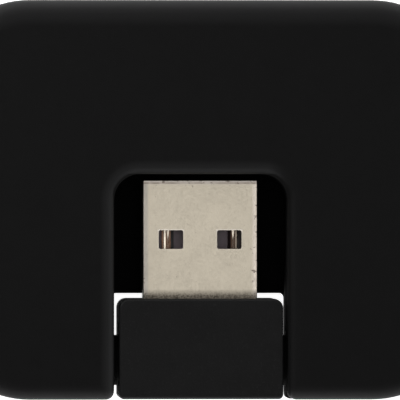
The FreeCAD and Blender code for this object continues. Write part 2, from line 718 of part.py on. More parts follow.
def plug_shield():
    """The plug's shell, folded from sheet, with two latch windows through each face."""
    body = new_body("plug_shield")
    length = "(dims.plug_tip - dims.plug_rear)"
    outside = along(body, PLUG_REAR)
    round_cornered(outside, "0", MID_Z, "dims.plug_width", "dims.plug_thickness", "dims.plug_corner")
    pad(body, outside, length, backward=True)
    inside = along(body, f"{PLUG_REAR} - {CLEAR}")
    wide = "dims.plug_width - 2 * dims.sheet"
    tall = "dims.plug_thickness - 2 * dims.sheet"
    centred(inside, "0", MID_Z, wide, tall)
    pocket(body, inside, f"{length} + 2 * {CLEAR}")
    slit = along(body, f"{PLUG_REAR} - {CLEAR}")
    slit_half = "(dims.plug_seam / 2)"
    rectangle(slit, f"-{slit_half}", slit_half, f"{MID_Z} - dims.plug_thickness", MID_Z)
    pocket(body, slit, f"{length} + 2 * {CLEAR}")
    windows = level(body, MID_Z)
    middle = f"({PLUG_TIP} - dims.window_setback - dims.window_length / 2)"
    for side in (-1, 1):
        x = f"{side} * dims.window_spread / 2"
        round_cornered(windows, x, middle, "dims.window_width", "dims.window_length", "dims.window_corner")
    pocket(body, windows, "dims.plug_thickness * 2", both=True)


def plug_insulator():
    """The moulding inside the plug: a full-height rear and a half-height tongue with contact grooves."""
    body = new_body("plug_insulator")
    inner_high = "(dims.plug_thickness / 2 - dims.sheet - dims.fit_play)"
    wide = "dims.plug_width - 2 * dims.sheet - 2 * dims.fit_play"
    rear = along(body, PLUG_REAR)
    centred(rear, "0", MID_Z, wide, f"2 * {inner_high}")
    pad(body, rear, "dims.moulding_length", backward=True)
    tongue = along(body, f"{PLUG_REAR} + dims.moulding_length - {BURIED}")
    half = "(dims.tongue_width / 2)"
    rectangle(tongue, f"-{half}", half, f"{MID_Z} - {inner_high}", f"{MID_Z} - dims.tongue_drop")
    reach = "(dims.plug_tip - dims.tongue_setback - dims.plug_rear - dims.moulding_length)"
    pad(body, tongue, f"{reach} + {BURIED}", backward=True)

    def tongue_front(edge):
        box = edge.BoundBox
        at_tip = abs(box.YMin - value(f"{PLUG_TIP} - dims.tongue_setback")) < ON
        return at_tip and box.YLength < ON and box.XLength > 1

    blend(body, "Chamfer", "dims.contact_bevel", tongue_front)
    groove_wide = "dims.contact_width + 2 * dims.fit_play"
    groove_tall = "dims.contact_sheet + 2 * dims.fit_play"
    for pair in ("outer", "inner"):
        grooves = along(body, f"{PLUG_REAR} - {CLEAR}")
        for side in (-1, 1):
            middle = f"{side} * dims.{pair}_pitch / 2"
            centred(grooves, middle, CONTACT_MID, groove_wide, groove_tall)
        reach = f"dims.plug_tip - dims.{pair}_setback - dims.plug_rear"
        pocket(body, grooves, f"{reach} + dims.fit_play + {CLEAR}")


def plug_contact(name, x):
    """A flat contact: flush with the tongue in front, a solder tail behind the insulator."""
    body = new_body(f"plug_contact_{name}")
    supply = name in ("power", "ground")
    front = f"({PLUG_TIP} - dims.outer_setback)" if supply else f"({PLUG_TIP} - dims.inner_setback)"
    back = f"({PLUG_REAR} - dims.contact_tail)"
    low = f"({CONTACT_MID} - dims.contact_sheet / 2)"
    high = f"({CONTACT_MID} + dims.contact_sheet / 2)"
    strip = across(body, x)
    bevel = f"({front} - dims.contact_bevel)"
    polygon(strip, [(back, low), (front, low), (front, CONTACT_MID), (bevel, high), (back, high)])
    pad(body, strip, "dims.contact_width", both=True)


# ---- The leads, from the plug's tails through a trunnion to the board ----


def lead_route(x, order, deep, near):
    """The corners of one lead's path, from the hinge axis."""
    drop = "(dims.contact_sheet / 2 + dims.lead_radius + dims.lead_touch)"
    tail = f"({CONTACT_MID} - {MID_Z})"
    z = value(f"{tail} - {drop}") if deep else value(f"{tail} + {drop}")
    lane = value("dims.lead_lane") if near else -value("dims.lead_lane")
    pad_x = value(f"dims.lead_first_pad + {order} * dims.lead_pad_pitch")
    top = value(f"{BOARD_LOW} - {MID_Z} - dims.lead_radius - dims.lead_touch")
    return [
        Vector(value(x), value("dims.plug_rear - dims.lead_start"), z),
        Vector(value(x), lane, z),
        Vector(pad_x, lane, z),
        Vector(pad_x, value("dims.lead_rise_start"), z),
        Vector(pad_x, value("dims.lead_rise_end"), top),
        Vector(pad_x, value("dims.lead_pad_along"), top),
    ]


def rounded_path(corners, first_radius):
    """Straight runs joined by tangent arcs. Returns the wire and the arcs' radii."""
    edges = []
    radii = []
    start = corners[0]
    for before, corner, after in zip(corners, corners[1:], corners[2:]):
        inward = before - corner
        outward = after - corner
        turn = math.pi - inward.getAngle(outward)
        shorter = min(inward.Length, outward.Length)
        reach = BEND_SHARE * shorter if edges else first_radius * math.tan(turn / 2)
        radii.append(reach / math.tan(turn / 2))
        leave = corner + inward.normalize() * reach
        join = corner + outward.normalize() * reach
        bisector = (inward + outward).normalize()
        to_arc = radii[-1] / math.cos(turn / 2) - radii[-1]
        edges.append(Part.LineSegment(start, leave).toShape())
        edges.append(Part.Arc(leave, corner + bisector * to_arc, join).toShape())
        start = join
    edges.append(Part.LineSegment(start, corners[-1]).toShape())
    return Part.Wire(edges), radii


def lead(colour, x, order, deep, near):
    """One insulated lead, a tube along its route."""
    corners = lead_route(x, order, deep, near)
    path, radii = rounded_path(corners, value("dims.lead_bend"))
    radius = value("dims.lead_radius")
    section = Part.Wire([Part.Circle(corners[0], corners[1] - corners[0], radius).toShape()])
    tube = path.makePipeShell([section], True, True)
    expected = math.pi * radius**2 * path.Length
    print(f"lead_{colour}: arc radii {[round(r, 2) for r in radii]} mm, length {path.Length:.1f} mm")
    if abs(tube.Volume - expected) > TUBE_TOLERANCE * expected:
        raise RuntimeError(f"lead_{colour}: volume {tube.Volume:.3f}, expected {expected:.3f}")
    item = doc.addObject("Part::Feature", f"lead_{colour}")
    item.Label = f"lead_{colour}"
    item.Shape = tube
    put(item, "0", AXIS_Y, MID_Z)
    sub_parts.append(item)


# ---- The sockets, each in its own frame ----


def port_shield(socket):
    """A socket's shell, with sprung latch fingers in both faces and two solder legs."""
    body = new_body(f"{socket.name}_shield")
    outside = along(body)
    round_cornered(outside, "0", "0", "dims.port_width", "dims.port_thickness", "dims.port_corner")
    pad(body, outside, "dims.port_depth")
    inside = along(body, CLEAR)
    wide = "dims.port_width - 2 * dims.sheet"
    tall = "dims.port_thickness - 2 * dims.sheet"
    round_cornered(inside, "0", "0", wide, tall, "(dims.port_corner - dims.sheet)")
    pocket(body, inside, f"dims.port_depth + 2 * {CLEAR}", forward=True)

    slits = level(body)
    root = "(-dims.finger_root)"
    end = f"({root} - dims.finger_length)"
    middle = f"(({root} + {end} - dims.finger_gap) / 2)"
    for side in (-1, 1):
        x = f"{side} * dims.finger_spread / 2"
        slit_wide = "dims.finger_width + 2 * dims.finger_gap"
        centred(slits, x, middle, slit_wide, f"{root} - {end} + dims.finger_gap")
    pocket(body, slits, "dims.port_thickness * 2", both=True)
    crest = f"({root} - dims.finger_crest)"
    outer = "(dims.port_thickness / 2)"
    inner = f"({outer} - dims.sheet)"
    lap = f"{root} + dims.finger_lap"
    dip = "dims.finger_dip"
    end_dip = "dims.finger_end_dip"
    for side in (-1, 1):
        finger = across(body, f"{side} * dims.finger_spread / 2")
        for face in (-1, 1):
            profile = [
                (lap, outer),
                (root, outer),
                (crest, f"{outer} - {dip}"),
                (end, f"{outer} - {end_dip}"),
                (end, f"{inner} - {end_dip}"),
                (crest, f"{inner} - {dip}"),
                (root, inner),
                (lap, inner),
            ]
            polygon(finger, [(y, f"{face} * ({z})") for y, z in profile])
        pad(body, finger, "dims.finger_width", both=True)

    legs = along(body, "-dims.leg_setback + dims.leg_width / 2")
    for side in (-1, 1):
        leg_out = f"{side} * dims.port_width / 2"
        leg_in = f"{side} * (dims.port_width / 2 - dims.sheet)"
        ends = (leg_in, leg_out) if side > 0 else (leg_out, leg_in)
        rectangle(legs, *ends, "0", f"{outer} + dims.leg_rise")
    pad(body, legs, "dims.leg_width")
    put(body, socket.x, socket.y, MID_Z, socket.turn)


def port_insulator(socket):
    """A socket's moulding: a full-height header and a tongue with four contact grooves."""
    body = new_body(f"{socket.name}_insulator")
    inner_high = "(dims.port_thickness / 2 - dims.sheet - dims.fit_play)"
    wide = "dims.port_width - 2 * dims.sheet - 2 * dims.fit_play"
    header = along(body, "-dims.port_depth")
    corner = "(dims.port_corner - dims.sheet - dims.fit_play)"
    round_cornered(header, "0", "0", wide, f"2 * {inner_high}", corner)
    pad(body, header, "dims.header_length", backward=True)
    blade = along(body, f"-dims.port_depth + dims.header_length - {BURIED}")
    half = "(dims.blade_width / 2)"
    rectangle(blade, f"-{half}", half, f"{BLADE_FACE} - dims.blade_thickness", BLADE_FACE)
    reach = "(dims.port_depth - dims.header_length - dims.blade_setback)"
    pad(body, blade, f"{reach} + {BURIED}", backward=True)

    def blade_front(edge):
        box = edge.BoundBox
        at_front = abs(box.YMin + value("dims.blade_setback")) < ON
        return at_front and box.YLength < ON and box.XLength > 1

    blend(body, "Chamfer", "dims.contact_bevel * 2", blade_front)
    wide_groove = "dims.contact_width + 2 * dims.fit_play"
    grooves = level(body, BLADE_FACE)
    slots = along(body, f"-dims.port_depth - {CLEAR}")
    slot_tall = "dims.contact_sheet + 2 * dims.fit_play"
    front = "(-dims.groove_setback)"
    back = "(-dims.port_depth + dims.header_length)"
    for _, x in CONTACTS:
        centred(grooves, x, f"({front} + {back}) / 2", wide_groove, f"{front} - {back}")
        centred(slots, x, STRIP_MID, wide_groove, slot_tall)
    pocket(body, grooves, "dims.groove_depth")
    pocket(body, slots, f"dims.header_length + {CLEAR} + {BURIED}")
    put(body, socket.x, socket.y, MID_Z, socket.turn)


def port_contact(socket, name, x):
    """A sprung contact: a hump over the tongue, a flat through the header and a tail up to the board."""
    body = new_body(f"{socket.name}_contact_{name}")
    strip = across(body, x)
    half = "dims.contact_sheet / 2"
    low = f"({STRIP_MID} - {half})"
    high = f"({STRIP_MID} + {half})"
    crest = "(-dims.hump_from_mouth)"
    front = f"({crest} + dims.hump_run)"
    back = f"({crest} - dims.hump_run)"
    tail_top = "(dims.port_thickness / 2 + dims.leg_rise)"
    tail_front = f"({TAIL_MID} + {half})"
    tail_back = f"({TAIL_MID} - {half})"
    polygon(
        strip,
        [
            (tail_back, low),
            (back, low),
            (f"{crest} - dims.hump_flat", f"{low} + dims.spring_rise"),
            (f"{crest} + dims.hump_flat", f"{low} + dims.spring_rise"),
            (front, low),
            (front, high),
            (f"{crest} + dims.hump_flat", f"{high} + dims.spring_rise"),
            (f"{crest} - dims.hump_flat", f"{high} + dims.spring_rise"),
            (back, high),
            (tail_front, high),
            (tail_front, tail_top),
            (tail_back, tail_top),
        ],
    )
    pad(body, strip, "dims.contact_width", both=True)
    put(body, socket.x, socket.y, MID_Z, socket.turn)


# ---- The board and what it carries on its lower face ----


def circuit_board():
    """The board wraps round the recess and takes the sockets' legs and tails in holes."""
    body = new_body("circuit_board")
    pad(body, outline(body, BOARD_LOW, "2 * (dims.wall + dims.board_gap)"), "dims.board_thickness")
    gap = level(body, BOARD_TOP)
    far = "dims.board_notch_end"
    near = f"({HINGE_EDGE} - {CLEAR})"
    wide = "2 * dims.board_notch_half"
    round_cornered(gap, "0", f"({far} + {near}) / 2", wide, f"{far} - {near}", "dims.board_notch_corner")
    pocket(body, gap, "2 * dims.board_thickness")
    holes = level(body, BOARD_TOP)
    for x, y in POSTS:
        circle(holes, x, y, "(dims.peg_radius + dims.peg_play)")
    for socket in SOCKETS:
        for _, contact_x in CONTACTS:
            x, y = socket.spot(contact_x, TAIL_MID)
            circle(holes, f"({x})", f"({y})", "dims.tail_hole")
        for side in (-1, 1):
            x, y = socket.spot(f"{side} * (dims.port_width - dims.sheet) / 2", "-dims.leg_setback")
            across_leg = "dims.sheet + 2 * dims.leg_play"
            along_leg = "dims.leg_width + 2 * dims.leg_play"
            centred(holes, f"({x})", f"({y})", *socket.spread(across_leg, along_leg))
    pocket(body, holes, "2 * dims.board_thickness")


def hub_chip():
    body = new_body("hub_chip")
    base = level(body)
    centred(base, "0", "0", "dims.chip_length", "dims.chip_width")
    pad(body, base, "dims.chip_thickness", backward=True)
    blend(body, "Chamfer", "dims.chip_bevel", flat_at("-dims.chip_thickness"))
    put(body, "dims.chip_across", "dims.chip_along", f"{BOARD_LOW} - dims.chip_standoff")


def hub_chip_legs():
    """Both rows of gull-wing legs, from the chip's sides to the board."""
    body = new_body("hub_chip_legs")
    first = across(body, f"-{PER_PIN} * {LEGS_PER_SIDE - 1} / 2 - dims.chip_leg_width / 2")
    sheet = "dims.chip_leg_sheet"
    shoulder_low = f"(-dims.chip_standoff - dims.chip_thickness / 2 - {sheet} / 2)"
    shoulder_high = f"({shoulder_low} + {sheet})"
    side = "(dims.chip_width / 2)"
    toe = "(dims.chip_leg_span / 2)"
    heel = f"({toe} - dims.chip_foot)"
    knee = f"({side} + dims.chip_shoulder)"
    for way in (-1, 1):
        profile = [
            (side, shoulder_low),
            (f"{knee} + {sheet}", shoulder_low),
            (f"{heel} + {sheet}", f"-{sheet}"),
            (toe, f"-{sheet}"),
            (toe, "0"),
            (heel, "0"),
            (knee, shoulder_high),
            (side, shoulder_high),
        ]
        polygon(first, [(f"{way} * ({y})", z) for y, z in profile])
    pair = pad(body, first, "dims.chip_leg_width")
    repeat(body, pair, "X_Axis", PER_PIN, LEGS_PER_SIDE)
    put(body, "dims.chip_across", "dims.chip_along", BOARD_LOW)


def crystal():
    body = new_body("crystal")
    flange = level(body)
    end = "(dims.crystal_width / 2 - dims.crystal_flat)"
    round_cornered(flange, "0", "0", "dims.crystal_length", "dims.crystal_width", end)
    pad(body, flange, "dims.crystal_flange", backward=True)
    can = level(body)
    length = "(dims.crystal_length - 2 * dims.crystal_inset)"
    width = "(dims.crystal_width - 2 * dims.crystal_inset)"
    round_cornered(can, "0", "0", length, width, f"({width} / 2 - dims.crystal_flat)")
    pad(body, can, "dims.crystal_height", backward=True)
    blend(body, "Fillet", "dims.crystal_edge", flat_at("-dims.crystal_height"))
    put(body, "dims.crystal_across", "dims.crystal_along", BOARD_LOW)


def capacitor_can():
    """A turned can, crimped above its base."""
    body = new_body("capacitor_can")
    half = along(body)
    radius = "dims.can_radius"
    crimp = "(-dims.can_base_height - dims.can_crimp_up)"
    polygon(
        half,
        [
            ("0", "-dims.can_height"),
            (f"{radius} - dims.can_edge", "-dims.can_height"),
            (radius, "-dims.can_height + dims.can_edge"),
            (radius, f"{crimp} - dims.can_crimp_half"),
            (f"{radius} - dims.can_crimp", crimp),
            (radius, f"{crimp} + dims.can_crimp_half"),
            (radius, "-dims.can_base_height"),
            ("0", "-dims.can_base_height"),
        ],
    )
    turned = body.newObject("PartDesign::Revolution", "capacitor_can_turned")
    turned.Profile = half
    turned.ReferenceAxis = (half, ["V_Axis"])
    turned.Angle = 360
    body.Tip = turned
    put(body, "dims.can_across", "dims.can_along", BOARD_LOW)


def capacitor_base():
    """The capacitor's square foot, with two corners cut to show its sense."""
    body = new_body("capacitor_base")
    foot = level(body)
    half = "(dims.can_base / 2)"
    cut = f"({half} - dims.can_base_bevel)"
    polygon(
        foot,
        [
            (f"-{half}", f"-{half}"),
            (half, f"-{half}"),
            (half, cut),
            (cut, half),
            (f"-{cut}", half),
            (f"-{half}", cut),
        ],
    )
    pad(body, foot, "dims.can_base_height", backward=True)
    put(body, "dims.can_across", "dims.can_along", BOARD_LOW)


def small_chip(kind, number):
    """A chip capacitor or resistor, hanging from the board's lower face."""
    item = doc.addObject("Part::Box", f"chip_{kind}_{number}")
    item.Label = f"chip_{kind}_{number}"
    item.setExpression("Length", f"dims.{kind}_length")
    item.setExpression("Width", f"dims.{kind}_width")
    item.setExpression("Height", f"dims.{kind}_height")
    x = f"dims.{kind}_{number}_across - dims.{kind}_length / 2"
    y = f"dims.{kind}_{number}_along - dims.{kind}_width / 2"
    put(item, x, y, f"{BOARD_LOW} - dims.{kind}_height")
    sub_parts.append(item)


def hand_in():
    """Checks every object and writes each sub-part's file."""
    doc.recompute()
    for item in doc.Objects:
        if {"Invalid", "Error"} & set(item.State):
            raise RuntimeError(f"{item.Label}: {item.State}")
    os.makedirs("parts", exist_ok=True)
    for item in sub_parts:
        if item.Shape.isNull() or not item.Shape.isValid():
            raise RuntimeError(f"{item.Label}: no valid shape")
        item.Shape.exportStep(f"parts/{item.Label}.step")
        box = item.Shape.BoundBox
        size = f"{box.XLength:.2f} x {box.YLength:.2f} x {box.ZLength:.2f}"
        print(f"{item.Label}: {size} mm, {item.Shape.Volume:.1f} mm3, {len(item.Shape.Solids)} solids")


recess_cover()
plain_cover()
hinge_block("hinge_block_upper", upper=True)
hinge_block("hinge_block_lower", upper=False)
plug_shield()
plug_insulator()
for contact_name, contact_x in CONTACTS:
    plug_contact(contact_name, contact_x)
lead("red", CONTACTS[0][1], order=3, deep=True, near=False)
lead("white", CONTACTS[1][1], order=2, deep=False, near=False)
lead("green", CONTACTS[2][1], order=1, deep=True, near=True)
lead("black", CONTACTS[3][1], order=0, deep=False, near=True)
for one_socket in SOCKETS:
    port_shield(one_socket)
    port_insulator(one_socket)
    for contact_name, contact_x in CONTACTS:
        port_contact(one_socket, contact_name, contact_x)
circuit_board()
hub_chip()
hub_chip_legs()
crystal()
capacitor_can()
capacitor_base()
for kind_name, kind_spots in (("capacitor", CAPACITOR_SPOTS), ("resistor", RESISTOR_SPOTS)):
    for chip_number in range(1, len(kind_spots) + 1):
        small_chip(kind_name, chip_number)
hand_in()
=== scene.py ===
import json
import math

import bmesh
import bpy
from mathutils import Matrix, Vector

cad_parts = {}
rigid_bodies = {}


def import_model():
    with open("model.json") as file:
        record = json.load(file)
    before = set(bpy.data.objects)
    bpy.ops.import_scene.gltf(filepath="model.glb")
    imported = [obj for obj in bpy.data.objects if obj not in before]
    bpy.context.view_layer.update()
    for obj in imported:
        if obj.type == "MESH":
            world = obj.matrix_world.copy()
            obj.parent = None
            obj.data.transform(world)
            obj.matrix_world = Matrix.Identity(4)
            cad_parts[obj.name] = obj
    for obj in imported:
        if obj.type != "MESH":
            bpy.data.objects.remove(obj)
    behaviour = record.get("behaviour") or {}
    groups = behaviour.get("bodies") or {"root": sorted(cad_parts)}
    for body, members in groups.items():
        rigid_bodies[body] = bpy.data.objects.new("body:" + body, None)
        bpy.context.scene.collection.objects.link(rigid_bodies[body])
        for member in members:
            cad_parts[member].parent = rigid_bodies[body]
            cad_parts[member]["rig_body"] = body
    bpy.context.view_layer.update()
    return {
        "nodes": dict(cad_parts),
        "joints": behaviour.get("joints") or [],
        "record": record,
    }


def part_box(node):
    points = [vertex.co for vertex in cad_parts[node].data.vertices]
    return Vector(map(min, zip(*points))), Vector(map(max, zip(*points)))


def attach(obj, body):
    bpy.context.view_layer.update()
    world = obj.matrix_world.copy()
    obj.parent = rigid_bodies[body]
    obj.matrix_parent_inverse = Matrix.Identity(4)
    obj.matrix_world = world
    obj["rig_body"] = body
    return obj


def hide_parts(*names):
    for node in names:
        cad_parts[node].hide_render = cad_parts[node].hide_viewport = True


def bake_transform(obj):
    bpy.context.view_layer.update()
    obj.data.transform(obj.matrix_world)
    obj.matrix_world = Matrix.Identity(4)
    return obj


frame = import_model()

# A pocket USB hub with a plug that folds into its case.
# Metres, with +Z out of the recess face and the hinge edge at -Y.

MM = 0.001
CONTACTS = ("power", "data_minus", "data_plus", "ground")
PORTS = ("port_1", "port_2", "port_3", "port_4")
HINGE = next(joint for joint in frame["joints"] if joint["name"] == "plug_fold")
AXIS = Vector(HINGE["pos_m"])
CASE_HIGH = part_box("recess_cover")[1]
CASE_CORNER = 10.5 * MM
RECESS_HALF = 9.15 * MM
RECESS_END = 2.7 * MM
RECESS_CORNER = 2.7 * MM
SHELL_LOW, SHELL_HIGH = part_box("plug_shield")
BLOCK_LOW, BLOCK_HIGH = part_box("hinge_block_upper")
BLOCK_HALF = 8.625 * MM
WINDOW_X, WINDOW_Y = 3.075 * MM, SHELL_HIGH.y - 6.19 * MM
WINDOW_HALF_X, WINDOW_HALF_Y = 1.29 * MM, 0.99 * MM
BOARD_LOW, BOARD_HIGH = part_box("circuit_board")
BODY_OF = {node: piece["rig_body"] for node, piece in frame["nodes"].items()}
SLOT_OF = {part["node"]: part["material_slot"] for part in frame["record"]["subparts"]}


# ---- Materials ----

BLACK = (0.0009, 0.0009, 0.00092)


class Surface:
    """A node material with its Principled shader, and short calls for the nodes that feed it."""

    def __init__(self, name, **settings):
        self.material = bpy.data.materials.new(name)
        self.material.use_nodes = True
        self.nodes = self.material.node_tree.nodes
        self.links = self.material.node_tree.links
        self.shader = self.nodes["Principled BSDF"]
        self.place = self.nodes.new("ShaderNodeTexCoord").outputs["Object"]
        for socket, value in settings.items():
            self.shader.inputs[socket.replace("_", " ")].default_value = value

    def feed(self, socket, output):
        """Drives one of the shader's sockets with a node's output."""
        self.links.new(output, self.shader.inputs[socket])

    def plug_in(self, socket, value):
        """Gives an input a number, a colour or another node's output."""
        if isinstance(value, bpy.types.NodeSocket):
            self.links.new(value, socket)
        elif isinstance(value, tuple) and socket.type == "RGBA":
            socket.default_value = (*value, 1.0)
        else:
            socket.default_value = value

    def noise(self, size, detail=2.0, stretch=None, seed=0.0):
        """Noise with blobs about size metres across, mostly between 0.3 and 0.7."""
        made = self.nodes.new("ShaderNodeTexNoise")
        made.noise_dimensions = "4D"
        self.plug_in(made.inputs["Vector"], self.stretched(stretch) if stretch else self.place)
        self.plug_in(made.inputs["W"], seed)
        self.plug_in(made.inputs["Scale"], 1 / size)
        self.plug_in(made.inputs["Detail"], detail)
        return made.outputs["Fac"]

    def stretched(self, scale):
        """The place, scaled along each axis."""
        made = self.nodes.new("ShaderNodeMapping")
        self.plug_in(made.inputs["Vector"], self.place)
        self.plug_in(made.inputs["Scale"], scale)
        return made.outputs["Vector"]

    def axis(self, letter):
        """The place along one axis, in metres."""
        made = self.nodes.new("ShaderNodeSeparateXYZ")
        self.plug_in(made.inputs["Vector"], self.place)
        return made.outputs[letter]

    def ramp(self, value, low, high, to_low=0.0, to_high=1.0):
        """Maps low..high to to_low..to_high, and holds outside."""
        made = self.nodes.new("ShaderNodeMapRange")
        made.clamp = True
        numbers = (value, low, high, to_low, to_high)
        for name, number in zip(("Value", "From Min", "From Max", "To Min", "To Max"), numbers):
            self.plug_in(made.inputs[name], number)
        return made.outputs["Result"]

    def maths(self, operation, *values):
        """One step of arithmetic on numbers or outputs."""
        made = self.nodes.new("ShaderNodeMath")
        made.operation = operation
        for socket, value in zip(made.inputs, values):
            self.plug_in(socket, value)
        return made.outputs["Value"]

    def past_corner(self, x, y):
        """Distance from a corner's middle that x and y are past; a negative one counts as none."""
        squares = [self.maths("POWER", self.maths("MAXIMUM", value, 0.0), 2.0) for value in (x, y)]
        return self.maths("SQRT", self.maths("ADD", *squares))

    def band(self, value, middle, half, soft):
        """1 within half of the middle, falling to 0 over soft."""
        away = self.maths("ABSOLUTE", self.maths("SUBTRACT", value, middle))
        return self.ramp(away, half, half + soft, 1.0, 0.0)

    def mix(self, share, first, second):
        """Blends two colours, each a tuple or an output."""
        made = self.nodes.new("ShaderNodeMix")
        made.data_type = "RGBA"
        self.plug_in(made.inputs["Factor"], share)
        for name, colour in (("A", first), ("B", second)):
            socket = next(s for s in made.inputs if s.name == name and s.type == "RGBA")
            self.plug_in(socket, colour)
        return next(s for s in made.outputs if s.type == "RGBA")

    def bump(self, height, depth):
        """Relief of depth metres where height goes from 0 to 1."""
        made = self.nodes.new("ShaderNodeBump")
        self.plug_in(made.inputs["Strength"], 1.0)
        self.plug_in(made.inputs["Distance"], depth)
        self.plug_in(made.inputs["Height"], height)
        return made.outputs["Normal"]


def shade(colour, factor):
    """The colour, lighter or darker by factor."""
    return tuple(factor * channel for channel in colour)


class Moulded(Surface):
    """Moulded plastic: mottled, with a fine spark-eroded grain whose peaks are paler."""

    def __init__(self, name, colour, speckle, roughness, grain, depth, level):
        super().__init__(name, Specular_IOR_Level=level)
        mottle = self.ramp(self.noise(3.0 * MM, detail=4.0), 0.35, 0.65)
        fine = self.noise(grain, seed=3.0)
        base = self.mix(mottle, shade(colour, 0.65), shade(colour, 1.2))
        self.colour = self.mix(self.ramp(fine, 0.56, 0.72), base, speckle)
        patch = self.noise(1.2 * MM, detail=3.0, seed=7.0)
        self.roughness = self.ramp(patch, 0.3, 0.7, roughness - 0.05, roughness + 0.05)
        self.feed("Base Color", self.colour)
        self.feed("Roughness", self.roughness)
        self.feed("Normal", self.bump(fine, depth))

    def change(self, share, colour, roughness):
        """Turns the colour and the roughness into these where share is 1."""
        self.colour = self.mix(share, self.colour, colour)
        self.roughness = self.ramp(share, 0.0, 1.0, self.roughness, roughness)
        self.feed("Base Color", self.colour)
        self.feed("Roughness", self.roughness)


def case_plastic():
    """The case: matt, with a painted highlight along its edges and the recess's rim, and painted
    shade inside the recess.
    """
    grain, relief, gloss = 0.12 * MM, 0.008 * MM, 0.152
    surface = Moulded("case_grain", BLACK, (0.0065, 0.0065, 0.0067), 0.6, grain, relief, gloss)
    x, y, z = (surface.axis(letter) for letter in "XYZ")
    # Painted highlight: the edges and the rim turn paler, as if catching the light, and a little
    # glossier.
    surface.change(case_edge_highlight(surface, x, y), (0.0145, 0.0145, 0.0148), 0.57)
    # Painted shade: the recess and the slot through its floor go near black, and rougher.
    surface.change(recess_shade(surface, x, y, z), (0.0022, 0.0022, 0.0023), 0.85)
    return surface.material


def case_edge_highlight(surface, x, y):
    """Painted highlight: 1 along the case's outline, more at the far edge, and the recess's rim,
    less on its right.
    """
    far_lean = 0.6 * MM
    across = surface.maths("ABSOLUTE", x)
    along = surface.maths("ABSOLUTE", surface.maths("ADD", y, far_lean))
    outline = surface.past_corner(
        surface.maths("SUBTRACT", across, CASE_HIGH.x - CASE_CORNER),
        surface.maths("SUBTRACT", along, CASE_HIGH.y - CASE_CORNER),
    )
    recess = surface.past_corner(
        surface.maths("SUBTRACT", across, RECESS_HALF - RECESS_CORNER),
        surface.maths("SUBTRACT", y, RECESS_END - RECESS_CORNER),
    )
    outer = surface.ramp(outline, CASE_CORNER - 2.2 * MM, CASE_CORNER)
    rim = surface.ramp(recess, RECESS_CORNER + 0.3 * MM, RECESS_CORNER + 1.5 * MM, 1.0, 0.0)
    left = surface.ramp(x, RECESS_HALF - 2.0 * MM, RECESS_HALF, 1.0, 0.1)
    return surface.maths("MAXIMUM", outer, surface.maths("MULTIPLY", rim, left))


def recess_shade(surface, x, y, z):
    """Painted shade: 1 inside the recess and the slot through its floor, up to the steep part of
    the rim.
    """
    near, far = 0.02 * MM, 0.05 * MM
    rim_middle, rim_reach = 0.06 * MM, 0.15 * MM
    off_middle = surface.maths("ABSOLUTE", surface.maths("SUBTRACT", x, rim_middle))
    side = RECESS_HALF + rim_reach
    inside = surface.ramp(off_middle, side, side + far, 1.0, 0.0)
    before = surface.ramp(y, RECESS_END + near, RECESS_END + far, 1.0, 0.0)
    below = surface.ramp(z, CASE_HIGH.z - 0.35 * MM, CASE_HIGH.z - 0.15 * MM, 1.0, 0.0)
    above = surface.ramp(z, 0.1 * MM, 0.3 * MM)
    for limit in (before, below, above):
        inside = surface.maths("MULTIPLY", inside, limit)
    return inside


def block_plastic():
    """The hinge block: a coarser grain, glossier along the hinge edge, where a painted highlight
    makes it paler.
    """
    grain, relief, gloss = 0.14 * MM, 0.012 * MM, 0.195
    colour, speckle = shade(BLACK, 2.6), (0.0085, 0.0085, 0.0087)
    surface = Moulded("block_grain", colour, speckle, 0.54, grain, relief, gloss)
    x, y, z = (surface.axis(letter) for letter in "XYZ")
    across = surface.maths("ABSOLUTE", x)
    height = surface.maths("ABSOLUTE", surface.maths("SUBTRACT", z, AXIS.z))
    side = surface.ramp(across, BLOCK_HALF - 0.32 * MM, BLOCK_HALF - 0.05 * MM, 0.0, 0.12)
    back = surface.ramp(y, BLOCK_LOW.y + 0.05 * MM, BLOCK_LOW.y + 0.34 * MM, 1.0, 0.0)
    face = surface.ramp(height, 4.9 * MM, 5.1 * MM)
    hinge_edge_highlight = surface.maths("MINIMUM", surface.maths("MAXIMUM", side, back), face)
    # Painted highlight: the hinge edge, and a little of each side, turn paler as if lit; they are
    # also glossier.
    surface.change(hinge_edge_highlight, (0.03, 0.03, 0.0305), 0.33)
    # Painted shade: past the block's sides, where the trunnions sit in the gap to the case, the
    # colour goes near black.
    trunnion = surface.ramp(across, BLOCK_HALF + 0.02 * MM, BLOCK_HALF + 0.05 * MM)
    surface.change(trunnion, (0.0012, 0.0012, 0.0012), 0.9)
    return surface.material


class Glossy(Surface):
    """Semi-gloss moulding with faint flow marks along flow."""

    def __init__(self, name, colour, roughness, flow):
        super().__init__(name, Specular_IOR_Level=0.4)
        marks = self.noise(0.6 * MM, detail=3.0, stretch=flow)
        fine = self.noise(0.08 * MM, seed=2.0)
        self.colour = self.mix(self.ramp(marks, 0.3, 0.7), shade(colour, 0.8), shade(colour, 1.2))
        self.feed("Base Color", self.colour)
        self.feed("Roughness", self.ramp(marks, 0.3, 0.7, roughness - 0.08, roughness + 0.08))
        self.feed("Normal", self.bump(fine, 0.002 * MM))


def plug_tongue_gloss():
    """The plug's insulator, with painted shade in bands along the supply contacts."""
    surface = Glossy("plug_moulding_gloss", (0.275, 0.21, 0.236), 0.42, (1.0, 0.3, 1.0))
    x = surface.axis("X")
    # Painted shade: dark bands beside the supply contacts stand in for the shadow in the gaps next
    # to them.
    inner_shade_band = surface.band(x, -2.84 * MM, 0.1 * MM, 0.04 * MM)
    outer_shade_band = surface.band(x, 4.22 * MM, 0.2 * MM, 0.05 * MM)
    coloured = surface.mix(inner_shade_band, surface.colour, (0.012, 0.008, 0.008))
    surface.feed("Base Color", surface.mix(outer_shade_band, coloured, (0.05, 0.028, 0.02)))
    return surface.material


